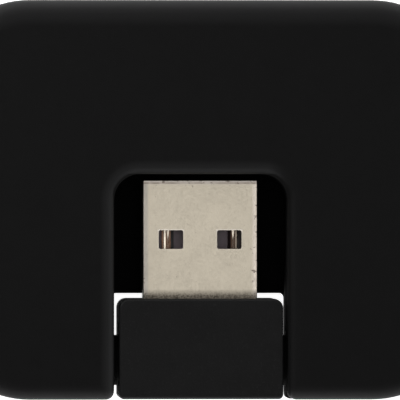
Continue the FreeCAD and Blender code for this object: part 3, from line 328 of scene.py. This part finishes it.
def sheet_metal(name, colour, roughness, grain, stretch=(1.0, 1.0, 1.0)):
    """Plated sheet: a fine grain, cloudy plating, and a few dark pits."""
    surface = Surface(name, Metallic=1.0)
    cloud = surface.noise(2.2 * MM, detail=4.0)
    fine = surface.noise(grain, detail=3.0, stretch=stretch, seed=5.0)
    pit = surface.ramp(surface.noise(0.2 * MM, detail=1.0, seed=9.0), 0.73, 0.78)
    base = surface.mix(surface.ramp(cloud, 0.3, 0.7), shade(colour, 0.92), shade(colour, 1.08))
    grained = surface.mix(surface.ramp(fine, 0.3, 0.65), shade(colour, 0.86), base)
    surface.feed("Base Color", surface.mix(pit, grained, shade(colour, 0.55)))
    surface.feed("Roughness", surface.ramp(fine, 0.3, 0.7, roughness - 0.06, roughness + 0.06))
    surface.feed("Normal", surface.bump(fine, 0.0015 * MM))
    return surface


def window_rim_highlight(surface, x, y):
    """Painted highlight: 1 on a hairline round each latch window, strongest on the side towards the
    mouth.
    """
    off_window = surface.maths("SUBTRACT", surface.maths("ABSOLUTE", x), WINDOW_X)
    across = surface.maths("ABSOLUTE", off_window)
    along = surface.maths("SUBTRACT", y, WINDOW_Y)
    beside = surface.maths("SUBTRACT", across, WINDOW_HALF_X)
    beyond = surface.maths("SUBTRACT", surface.maths("ABSOLUTE", along), WINDOW_HALF_Y)
    away = surface.maths("MAXIMUM", beside, beyond)
    hairline = surface.ramp(away, 0.06 * MM, 0.14 * MM, 1.0, 0.0)
    return surface.maths("MULTIPLY", hairline, surface.ramp(along, 0.6 * MM, 0.95 * MM, 0.2, 0.8))


def smudges(surface, x, y):
    """1 on small brown marks that gather along the shell's sides and mouth."""
    side = surface.maths("SUBTRACT", SHELL_HIGH.x, surface.maths("ABSOLUTE", x))
    mouth = surface.maths("SUBTRACT", SHELL_HIGH.y, y)
    near = surface.ramp(surface.maths("MINIMUM", side, mouth), 0.1 * MM, 1.1 * MM, 1.0, 0.0)
    spots = surface.noise(0.35 * MM, detail=3.0, seed=21.0)
    low = surface.ramp(near, 0.0, 1.0, 0.72, 0.60)
    over = surface.ramp(surface.maths("SUBTRACT", spots, low), 0.0, 0.06)
    return surface.maths("MULTIPLY", over, 0.8)


def plug_shell_metal():
    """The plug's shell: painted shade at the mouth, a painted shadow line behind it, and grime with
    painted shade at the block.
    """
    surface = sheet_metal("plug_shell_metal", (0.68, 0.61, 0.492), 0.36, 0.13 * MM, (1.0, 0.6, 1.0))
    x, y = surface.axis("X"), surface.axis("Y")
    plated = surface.shader.inputs["Base Color"].links[0].from_socket
    # Painted shade on the shell's left edge and a painted highlight on its right edge, where the
    # rounded corners catch the light unevenly.
    left = surface.ramp(x, SHELL_LOW.x + 0.38 * MM, SHELL_LOW.x + 0.6 * MM, 1.0, 0.0)
    right = surface.ramp(x, SHELL_HIGH.x - 0.6 * MM, SHELL_HIGH.x - 0.3 * MM)
    plated = surface.mix(left, plated, (0.50, 0.46, 0.40))
    plated = surface.mix(right, plated, (0.80, 0.715, 0.62))
    ends = surface.ramp(surface.maths("ABSOLUTE", x), 1.5 * MM, 5.5 * MM, 0.45, 0.85)
    # Painted shadow: a thin dark line behind the mouth, broken up along its length and weaker
    # towards the middle, stands in for the shade behind the rolled lip.
    lip_shadow_breaks = surface.noise(0.8 * MM, stretch=(1.0, 0.2, 1.0), seed=4.0)
    lip_shadow_breaks = surface.ramp(lip_shadow_breaks, 0.35, 0.6, 0.3, 1.0)
    lip_shadow = surface.band(y, SHELL_HIGH.y - 0.24 * MM, 0.04 * MM, 0.06 * MM)
    lip_shadow = surface.maths("MULTIPLY", surface.maths("MULTIPLY", lip_shadow, ends), lip_shadow_breaks)
    # Painted shade: the rounded mouth is darker where its edge would catch the light.
    wear_and_shade = surface.ramp(y, SHELL_HIGH.y - 0.5 * MM, SHELL_HIGH.y - 0.1 * MM)
    # Grime and painted shade: the shell darkens towards the block, with flecks, standing in for the
    # block's shadow and dark reflection as well as dirt.
    grime_and_block_shade = surface.ramp(y, BLOCK_HIGH.y + 0.3 * MM, BLOCK_HIGH.y + 1.0 * MM, 1.0, 0.0)
    fleck = surface.ramp(surface.noise(0.16 * MM, detail=3.0, seed=12.0), 0.40, 0.62)
    grime_and_block_shade = surface.maths("MULTIPLY", grime_and_block_shade, surface.ramp(fleck, 0.0, 1.0, 0.7, 1.0))
    coloured = surface.mix(wear_and_shade, plated, (0.53, 0.48, 0.435))
    coloured = surface.mix(window_rim_highlight(surface, x, y), coloured, (0.86, 0.79, 0.70))
    coloured = surface.mix(smudges(surface, x, y), coloured, (0.16, 0.12, 0.10))
    coloured = surface.mix(lip_shadow, coloured, (0.22, 0.17, 0.13))
    surface.feed("Base Color", surface.mix(grime_and_block_shade, coloured, (0.085, 0.073, 0.058)))
    return surface.material


def plug_contact_metal():
    """Dark copper-brown strips with painted highlights that stand in for reflections, and painted
    shade on the right-hand ones.
    """
    surface = Surface("plug_contact_metal", Metallic=1.0)
    x, y = surface.axis("X"), surface.axis("Y")
    aside, wedge_middle, wedge_half, blur = 0.12 * MM, 3.44 * MM, 0.15 * MM, 0.03 * MM
    wedge_start, wedge_end = WINDOW_Y - 0.06 * MM, WINDOW_Y + WINDOW_HALF_Y
    across = surface.maths("ABSOLUTE", surface.maths("SUBTRACT", x, aside))
    reach = surface.ramp(y, wedge_start, wedge_end, 0.0, wedge_half)
    away = surface.maths("ABSOLUTE", surface.maths("SUBTRACT", across, wedge_middle))
    wedge_highlight = surface.ramp(surface.maths("SUBTRACT", away, reach), -blur, blur, 1.0, 0.0)
    edge = surface.band(across, 3.77 * MM, 0.08 * MM, 0.05 * MM)
    left = surface.ramp(x, -1.0 * MM, 1.0 * MM, 1.0, 0.2)
    # Painted highlight: the pale wedge and edge stripe stand in for reflections of the light on the
    # curved strips, stronger on the left.
    pale = surface.maths("MAXIMUM", wedge_highlight, surface.maths("MULTIPLY", edge, left))
    wear_and_shade = surface.noise(0.25 * MM, detail=3.0, stretch=(1.0, 0.3, 1.0))
    copper = surface.mix(surface.ramp(wear_and_shade, 0.35, 0.65), (0.07, 0.04, 0.024), (0.22, 0.135, 0.095))
    # Painted shade: the strips right of the middle are darker, and darkest in a line along their
    # inner edge.
    dim = surface.ramp(x, -1.0 * MM, 1.0 * MM, 0.0, 0.6)
    copper = surface.mix(dim, copper, (0.02, 0.014, 0.012))
    contact_edge_shadow = surface.band(x, 3.16 * MM, 0.14 * MM, 0.06 * MM)
    copper = surface.mix(contact_edge_shadow, copper, (0.006, 0.004, 0.004))
    surface.feed("Base Color", surface.mix(pale, copper, (0.98, 0.87, 0.72)))
    surface.feed("Roughness", surface.ramp(wear_and_shade, 0.3, 0.7, 0.22, 0.38))
    surface.feed("Normal", surface.bump(pale, 0.01 * MM))
    return surface.material


def gold_strip():
    """Gold-flashed brass with rolling lines."""
    surface = Surface("gold_strip", Metallic=1.0)
    lines = surface.noise(0.06 * MM, detail=2.0, stretch=(1.0, 1.0, 0.15))
    cloud = surface.noise(0.9 * MM, detail=3.0, seed=2.0)
    base = surface.mix(surface.ramp(cloud, 0.3, 0.7), (0.78, 0.52, 0.20), (0.92, 0.70, 0.34))
    surface.feed("Base Color", base)
    surface.feed("Roughness", surface.ramp(lines, 0.3, 0.7, 0.18, 0.34))
    surface.feed("Normal", surface.bump(lines, 0.001 * MM))
    return surface.material


def board_mask():
    """Green solder mask over copper tracks, with a paler cut edge where the glass cloth shows."""
    surface = Surface("board_mask", Specular_IOR_Level=0.5)
    x, y, z = (surface.axis(letter) for letter in "XYZ")
    track_pitch, cloth_pitch = 0.9 * MM, 0.12 * MM
    tracks = []
    for place, seed in ((x, 1.0), (y, 2.0)):
        run = surface.noise(5.0 * MM, detail=0.0, seed=seed)
        row = surface.maths("PINGPONG", surface.maths("DIVIDE", place, track_pitch), 0.5)
        line = surface.ramp(row, 0.17, 0.2, 1.0, 0.0)
        tracks.append(surface.maths("MULTIPLY", line, surface.ramp(run, 0.52, 0.53)))
    copper = surface.maths("MAXIMUM", *tracks)
    pour = surface.ramp(surface.noise(9.0 * MM, detail=0.0, seed=6.0), 0.55, 0.56)
    copper = surface.maths("MAXIMUM", copper, pour)
    cloud = surface.noise(1.5 * MM, detail=3.0, seed=8.0)
    bare = surface.mix(surface.ramp(cloud, 0.3, 0.7), (0.010, 0.085, 0.032), (0.014, 0.11, 0.042))
    green = surface.mix(copper, bare, (0.024, 0.20, 0.075))
    middle = (BOARD_LOW.z + BOARD_HIGH.z) / 2
    edge = surface.band(z, middle, (BOARD_HIGH.z - BOARD_LOW.z) / 2 - 0.06 * MM, 0.02 * MM)
    layer = surface.maths("PINGPONG", surface.maths("DIVIDE", z, cloth_pitch), 0.5)
    glass = surface.mix(surface.ramp(layer, 0.1, 0.4), (0.30, 0.31, 0.13), (0.44, 0.45, 0.22))
    surface.feed("Base Color", surface.mix(edge, green, glass))
    surface.feed("Roughness", surface.ramp(edge, 0.0, 1.0, 0.28, 0.7))
    surface.feed("Normal", surface.bump(copper, 0.02 * MM))
    return surface.material


def drawn_can(name, colour, roughness, around):
    """Drawn metal can: lines along around, and a slightly cloudy finish."""
    surface = Surface(name, Metallic=1.0)
    lines = surface.noise(0.12 * MM, detail=3.0, stretch=around)
    cloud = surface.noise(1.4 * MM, detail=3.0, seed=3.0)
    base = surface.mix(surface.ramp(cloud, 0.3, 0.7), shade(colour, 0.88), shade(colour, 1.06))
    surface.feed("Base Color", base)
    surface.feed("Roughness", surface.ramp(lines, 0.3, 0.7, roughness - 0.07, roughness + 0.07))
    surface.feed("Normal", surface.bump(lines, 0.002 * MM))
    return surface.material


def end_capped(name, colour, share):
    """Fired ceramic chip, tinned over this share of its length at each end."""
    surface = Surface(name)
    within = surface.nodes.new("ShaderNodeTexCoord").outputs["Generated"]
    split = surface.nodes.new("ShaderNodeSeparateXYZ")
    surface.plug_in(split.inputs["Vector"], within)
    away = surface.maths("ABSOLUTE", surface.maths("SUBTRACT", split.outputs["X"], 0.5))
    ragged = surface.noise(0.3 * MM, detail=3.0)
    away = surface.maths("ADD", away, surface.ramp(ragged, 0.3, 0.7, -0.012, 0.012))
    start, blur = 0.5 - share, 0.01
    tin = surface.ramp(away, start - blur, start + blur)
    fine = surface.noise(0.07 * MM, detail=3.0, seed=4.0)
    body = surface.mix(surface.ramp(fine, 0.3, 0.7), shade(colour, 0.85), shade(colour, 1.12))
    surface.feed("Base Color", surface.mix(tin, body, (0.66, 0.66, 0.64)))
    surface.feed("Metallic", tin)
    surface.feed("Roughness", surface.ramp(tin, 0.0, 1.0, 0.45, 0.3))
    surface.feed("Normal", surface.bump(fine, 0.003 * MM))
    return surface.material


def vinyl(name, colour):
    """Extruded insulation: soft gloss, with faint drawing lines."""
    surface = Surface(name, Specular_IOR_Level=0.45)
    lines = surface.noise(0.2 * MM, detail=2.0, stretch=(0.2, 1.0, 1.0))
    base = surface.mix(surface.ramp(lines, 0.3, 0.7), shade(colour, 0.85), colour)
    surface.feed("Base Color", base)
    surface.feed("Roughness", surface.ramp(lines, 0.3, 0.7, 0.34, 0.46))
    surface.feed("Normal", surface.bump(lines, 0.002 * MM))
    return surface.material


def solder_metal():
    """Solder: bright, with a fine frosted grain."""
    surface = Surface("solder_metal", Metallic=1.0)
    grain = surface.noise(0.18 * MM, detail=3.0)
    base = surface.mix(surface.ramp(grain, 0.3, 0.7), (0.55, 0.56, 0.55), (0.72, 0.72, 0.70))
    surface.feed("Base Color", base)
    surface.feed("Roughness", surface.ramp(grain, 0.3, 0.7, 0.16, 0.32))
    surface.feed("Normal", surface.bump(grain, 0.004 * MM))
    return surface.material


def chip_epoxy():
    """The chip's package: grey-black epoxy with a very fine grain."""
    grain, relief, gloss = 0.06 * MM, 0.004 * MM, 0.4
    colour, speckle = (0.03, 0.03, 0.032), (0.05, 0.05, 0.052)
    return Moulded("chip_epoxy", colour, speckle, 0.6, grain, relief, gloss).material


FINISHES = {
    "case_plastic": case_plastic(),
    "block_plastic": block_plastic(),
    "plug_shell": plug_shell_metal(),
    "socket_shell": sheet_metal("socket_shell_metal", (0.68, 0.66, 0.61), 0.3, 0.1 * MM).material,
    "plug_moulding": plug_tongue_gloss(),
    "socket_moulding": Glossy(
        "socket_moulding_gloss", (0.02, 0.02, 0.022), 0.38, (0.4, 0.4, 1.0)
    ).material,
    "gold_contact": gold_strip(),
    "board": board_mask(),
    "chip_epoxy": chip_epoxy(),
    "tinned_legs": drawn_can("tinned_legs_metal", (0.74, 0.74, 0.72), 0.28, (1.0, 1.0, 0.3)),
    "crystal_can": drawn_can("crystal_can_metal", (0.68, 0.67, 0.65), 0.26, (0.2, 1.0, 1.0)),
    "capacitor_aluminium": drawn_can(
        "capacitor_aluminium_metal", (0.82, 0.82, 0.83), 0.24, (1.0, 1.0, 0.1)
    ),
    "capacitor_foot": Glossy(
        "capacitor_foot_gloss", (0.025, 0.025, 0.026), 0.4, (1.0, 0.4, 1.0)
    ).material,
    "capacitor_ceramic": end_capped("capacitor_ceramic_glaze", (0.42, 0.28, 0.16), 0.2),
    "resistor_ceramic": end_capped("resistor_ceramic_glaze", (0.035, 0.035, 0.042), 0.17),
    "lead_red_cover": vinyl("lead_red_vinyl", (0.55, 0.03, 0.02)),
    "lead_white_cover": vinyl("lead_white_vinyl", (0.78, 0.77, 0.73)),
    "lead_green_cover": vinyl("lead_green_vinyl", (0.03, 0.28, 0.08)),
    "lead_black_cover": vinyl("lead_black_vinyl", (0.02, 0.02, 0.02)),
}
PLUG_CONTACT_METAL = plug_contact_metal()
SOLDER = solder_metal()


# ---- Pieces that take the place of CAD nodes ----

FLAT_WITHIN = math.radians(0.5)
ROLLED_FROM = math.radians(32.0)


def piece_of(name, mesh, material):
    """A new object with one material, in the scene."""
    made = bpy.data.objects.new(name, mesh)
    bpy.context.scene.collection.objects.link(made)
    mesh.materials.clear()
    mesh.materials.append(material)
    return made


def smooth(mesh, sharp):
    """Smooth shading that breaks at edges steeper than sharp degrees."""
    mesh.polygons.foreach_set("use_smooth", [True] * len(mesh.polygons))
    mesh.set_sharp_from_angle(angle=math.radians(sharp))


def refined(node, width, material=None):
    """The node's shape as one welded mesh whose sharp edges are rolled over by width."""
    source = frame["nodes"][node].data
    mesh = bpy.data.meshes.new(f"{node}_look")
    shape = bmesh.new()
    shape.from_mesh(source)
    bmesh.ops.remove_doubles(shape, verts=shape.verts, dist=0.001 * MM)
    bmesh.ops.dissolve_limit(shape, angle_limit=FLAT_WITHIN, verts=shape.verts, edges=shape.edges)
    paired = [edge for edge in shape.edges if len(edge.link_faces) == 2]
    edges = [edge for edge in paired if edge.calc_face_angle() > ROLLED_FROM]
    bmesh.ops.bevel(
        shape,
        geom=edges,
        offset=width,
        offset_type="OFFSET",
        segments=2,
        profile=0.5,
        affect="EDGES",
        clamp_overlap=True,
    )
    shape.to_mesh(mesh)
    shape.free()
    smooth(mesh, 60.0)
    slot = SLOT_OF[node]
    made = piece_of(f"{node}_look", mesh, material or FINISHES[slot])
    weighted = made.modifiers.new("flat faces stay flat", "WEIGHTED_NORMAL")
    weighted.keep_sharp = True
    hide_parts(node)
    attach(made, BODY_OF[node])


for node, piece in frame["nodes"].items():
    piece.data.materials.clear()
    piece.data.materials.append(FINISHES[SLOT_OF[node]])

STAMPED_EDGE = 0.05 * MM
STRIP_EDGE = 0.04 * MM
refined("plug_shield", STAMPED_EDGE)
refined("plug_insulator", 0.06 * MM)
for contact in CONTACTS:
    refined(f"plug_contact_{contact}", STRIP_EDGE, PLUG_CONTACT_METAL)
for port in PORTS:
    refined(f"{port}_shield", STAMPED_EDGE)
    refined(f"{port}_insulator", 0.07 * MM)
    for contact in CONTACTS:
        refined(f"{port}_contact_{contact}", STRIP_EDGE)
refined("circuit_board", 0.04 * MM)
refined("hub_chip", 0.05 * MM)


# ---- Leads ----

# Millimetres from the hinge axis: the tail across, the lane along, the height, the pad across.
LEADS = {
    "red": (-3.5, -0.5, -0.76, 17.6),
    "white": (-1.0, -0.5, 0.36, 16.4),
    "green": (1.0, 0.5, -0.76, 15.2),
    "black": (3.5, 0.5, 0.36, 14.0),
}
TAIL_ALONG = 2.25
CLIMB_START, CLIMB_END = 3.1, 6.2
PAD_ALONG, PAD_HEIGHT = 7.9, 2.45
LEAD_RADIUS = 0.4 * MM


def corner_points(corners, near, step):
    """The corners with a point at near before and after each, and more along the longer runs."""
    points = [corners[0]]
    for here, there in zip(corners, corners[1:]):
        run = there - here
        inner = max(run.length - 2 * near, 0.0)
        count = max(1, math.ceil(inner / step))
        if run.length > 2 * near:
            start = here + run.normalized() * near
            points += [start + run.normalized() * inner * n / count for n in range(count + 1)]
        else:
            points.append(here + run / 2)
        points.append(there)
    return points


def lead(colour, x, lane, z, pad_x):
    """One insulated lead from the plug's tail through the trunnion to its pad under the board."""
    corners = [
        (x, TAIL_ALONG, z),
        (x, lane, z),
        (pad_x, lane, z),
        (pad_x, CLIMB_START, z),
        (pad_x, CLIMB_END, PAD_HEIGHT),
        (pad_x, PAD_ALONG, PAD_HEIGHT),
    ]
    corners = [AXIS + Vector(corner) * MM for corner in corners]
    points = corner_points(corners, near=0.8 * MM, step=1.4 * MM)
    curve = bpy.data.curves.new(f"lead_{colour}_path", "CURVE")
    curve.dimensions = "3D"
    curve.bevel_depth = LEAD_RADIUS
    curve.bevel_resolution = 4
    curve.resolution_u = 6
    curve.use_fill_caps = True
    spline = curve.splines.new("NURBS")
    spline.points.add(len(points) - 1)
    for made, point in zip(spline.points, points):
        made.co = (*point, 1.0)
    spline.order_u = 3
    spline.use_endpoint_u = True
    holder = bpy.data.objects.new(f"lead_{colour}_path", curve)
    mesh = bpy.data.meshes.new_from_object(holder)
    bpy.data.objects.remove(holder)
    slot = f"lead_{colour}_cover"
    made = piece_of(f"lead_{colour}_look", mesh, FINISHES[slot])
    smooth(mesh, 50.0)
    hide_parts(f"lead_{colour}")
    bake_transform(made)


for colour, numbers in LEADS.items():
    lead(colour, *numbers)


# ---- Solder ----

# Each joint's foot radius, top radius and height.
TAIL_JOINT = (0.85 * MM, 0.42 * MM, 0.42 * MM)
LEG_JOINT = (1.25 * MM, 0.7 * MM, 0.40 * MM)
LEAD_JOINT = (0.55 * MM, 0.42 * MM, 0.75 * MM)
SIDES = 20
STEPS = 7
SWEEP = 2.4  # how fast a joint narrows above its foot
CROWN = 0.55  # its last ring, as a share of the top radius


def cone_of_solder(shape, place, base, top, height, up):
    """A joint that sweeps in from a wide foot to a narrow rounded top."""
    rings = []
    for step in range(STEPS + 1):
        rise = step / STEPS
        radius = top + (base - top) * (1 - rise) ** SWEEP
        if step == STEPS:
            radius = top * CROWN
        ring = []
        for side in range(SIDES):
            turn = 2 * math.pi * side / SIDES
            spot = Vector((radius * math.cos(turn), radius * math.sin(turn), up * height * rise))
            ring.append(shape.verts.new(place + spot))
        rings.append(ring)
    for low, high in zip(rings, rings[1:]):
        for side in range(SIDES):
            following = (side + 1) % SIDES
            shape.faces.new((low[side], low[following], high[following], high[side]))
    shape.faces.new(rings[0])
    shape.faces.new(rings[-1])


def solder(name, joints):
    """One piece holding every joint of a row, on the hub."""
    shape = bmesh.new()
    for joint in joints:
        cone_of_solder(shape, *joint)
    bmesh.ops.recalc_face_normals(shape, faces=shape.faces)
    mesh = bpy.data.meshes.new(name)
    shape.to_mesh(mesh)
    shape.free()
    smooth(mesh, 60.0)
    made = piece_of(name, mesh, SOLDER)
    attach(made, "hub")


def above_board(node):
    """Middles of the groups of the node's corners that stand above the board."""
    clear, one_leg = 0.02 * MM, 2.0 * MM
    spots = []
    for corner in frame["nodes"][node].data.vertices:
        if corner.co.z > BOARD_HIGH.z + clear:
            place = Vector((corner.co.x, corner.co.y, BOARD_HIGH.z))
            near = [group for group in spots if (group[0] - place).length < one_leg]
            if near:
                near[0].append(place)
            else:
                spots.append([place])
    return [sum(group, Vector()) / len(group) for group in spots]


for port in PORTS:
    joints = []
    for contact in CONTACTS:
        for spot in above_board(f"{port}_contact_{contact}"):
            joints.append((spot, *TAIL_JOINT, 1))
    for spot in above_board(f"{port}_shield"):
        joints.append((spot, *LEG_JOINT, 1))
    solder(f"{port}_solder", joints)

joints = []
for *_, pad_x in LEADS.values():
    place = Vector((pad_x * MM, AXIS.y + PAD_ALONG * MM, BOARD_LOW.z))
    joints.append((place, *LEAD_JOINT, -1))
solder("lead_solder", joints)


# ---- Floor, light and camera ----

VIEW_SIDE = 42.06 * MM
VIEW_TILT = math.radians(2.25)
VIEW_MIDDLE = Vector((-0.085 * MM, -0.02 * MM, 10.0 * MM))
LENS = 800.0
SENSOR = 36.0
FLOOR_HALF = 3.0
FLOOR_HEIGHT = -0.2 * MM
WHITE = (1.0, 1.0, 1.0, 1.0)
LIT_POINT = Vector((0.0, 0.0, 6.0 * MM))


def floor():
    """A plain pale table, lit a little from within, so that nothing on it casts a hard shadow."""
    mesh = bpy.data.meshes.new("floor")
    shape = bmesh.new()
    ways = ((-1, -1), (1, -1), (1, 1), (-1, 1))
    corners = [shape.verts.new((x * FLOOR_HALF, y * FLOOR_HALF, 0.0)) for x, y in ways]
    shape.faces.new(corners)
    shape.to_mesh(mesh)
    shape.free()
    surface = Surface(
        "floor_paint",
        Base_Color=(0.86, 0.86, 0.86, 1.0),
        Roughness=0.8,
        Specular_IOR_Level=0.1,
        Emission_Color=WHITE,
        Emission_Strength=0.95,
    )
    made = piece_of("floor", mesh, surface.material)
    made.location.z = FLOOR_HEIGHT


def softbox(name, place, width, height, radiance):
    """A soft rectangular light aimed at the object, unseen by the camera."""
    light = bpy.data.lights.new(name, "AREA")
    light.shape = "RECTANGLE"
    light.size = width
    light.size_y = height
    light.energy = radiance * math.pi * width * height
    made = bpy.data.objects.new(name, light)
    made.location = place
    made.rotation_mode = "QUATERNION"
    made.rotation_quaternion = (Vector(place) - LIT_POINT).to_track_quat("Z", "Y")
    made.visible_camera = False
    bpy.context.scene.collection.objects.link(made)


floor()
softbox("overhead", (0.03, 0.02, 0.8), 0.42, 0.42, 1.19)
softbox("far_bank", (0.0, 0.28, 0.12), 0.46, 0.175, 2.43)
softbox("near_bank", (0.0, -0.8, 0.33), 1.3, 0.5, 2.27)
softbox("left_bank", (-0.8, 0.0, 0.33), 0.8, 0.5, 0.32)
softbox("right_bank", (0.8, 0.0, 0.33), 0.8, 0.5, 1.84)
softbox("corner_fill", (-0.14, 0.08, 0.12), 0.08, 0.08, 6.3)

world = bpy.data.worlds.new("studio")
world.use_nodes = True
background = world.node_tree.nodes["Background"]
background.inputs["Color"].default_value = WHITE
background.inputs["Strength"].default_value = 0.08
bpy.context.scene.world = world

camera_data = bpy.data.cameras.new("camera")
camera_data.lens = LENS
camera_data.sensor_width = SENSOR
camera_data.clip_start = 0.1
camera_data.clip_end = 10.0
camera = bpy.data.objects.new("camera", camera_data)
towards = Vector((-math.sin(VIEW_TILT), 0.0, math.cos(VIEW_TILT)))
across = Vector((math.cos(VIEW_TILT), 0.0, math.sin(VIEW_TILT)))
up = Vector((0.0, 1.0, 0.0))
turned = Matrix((across, up, towards)).transposed().to_4x4()
stand = VIEW_MIDDLE + towards * VIEW_SIDE * LENS / SENSOR
camera.matrix_world = Matrix.Translation(stand) @ turned
bpy.context.scene.collection.objects.link(camera)
bpy.context.scene.camera = camera
bpy.context.scene.view_settings.view_transform = "Standard"
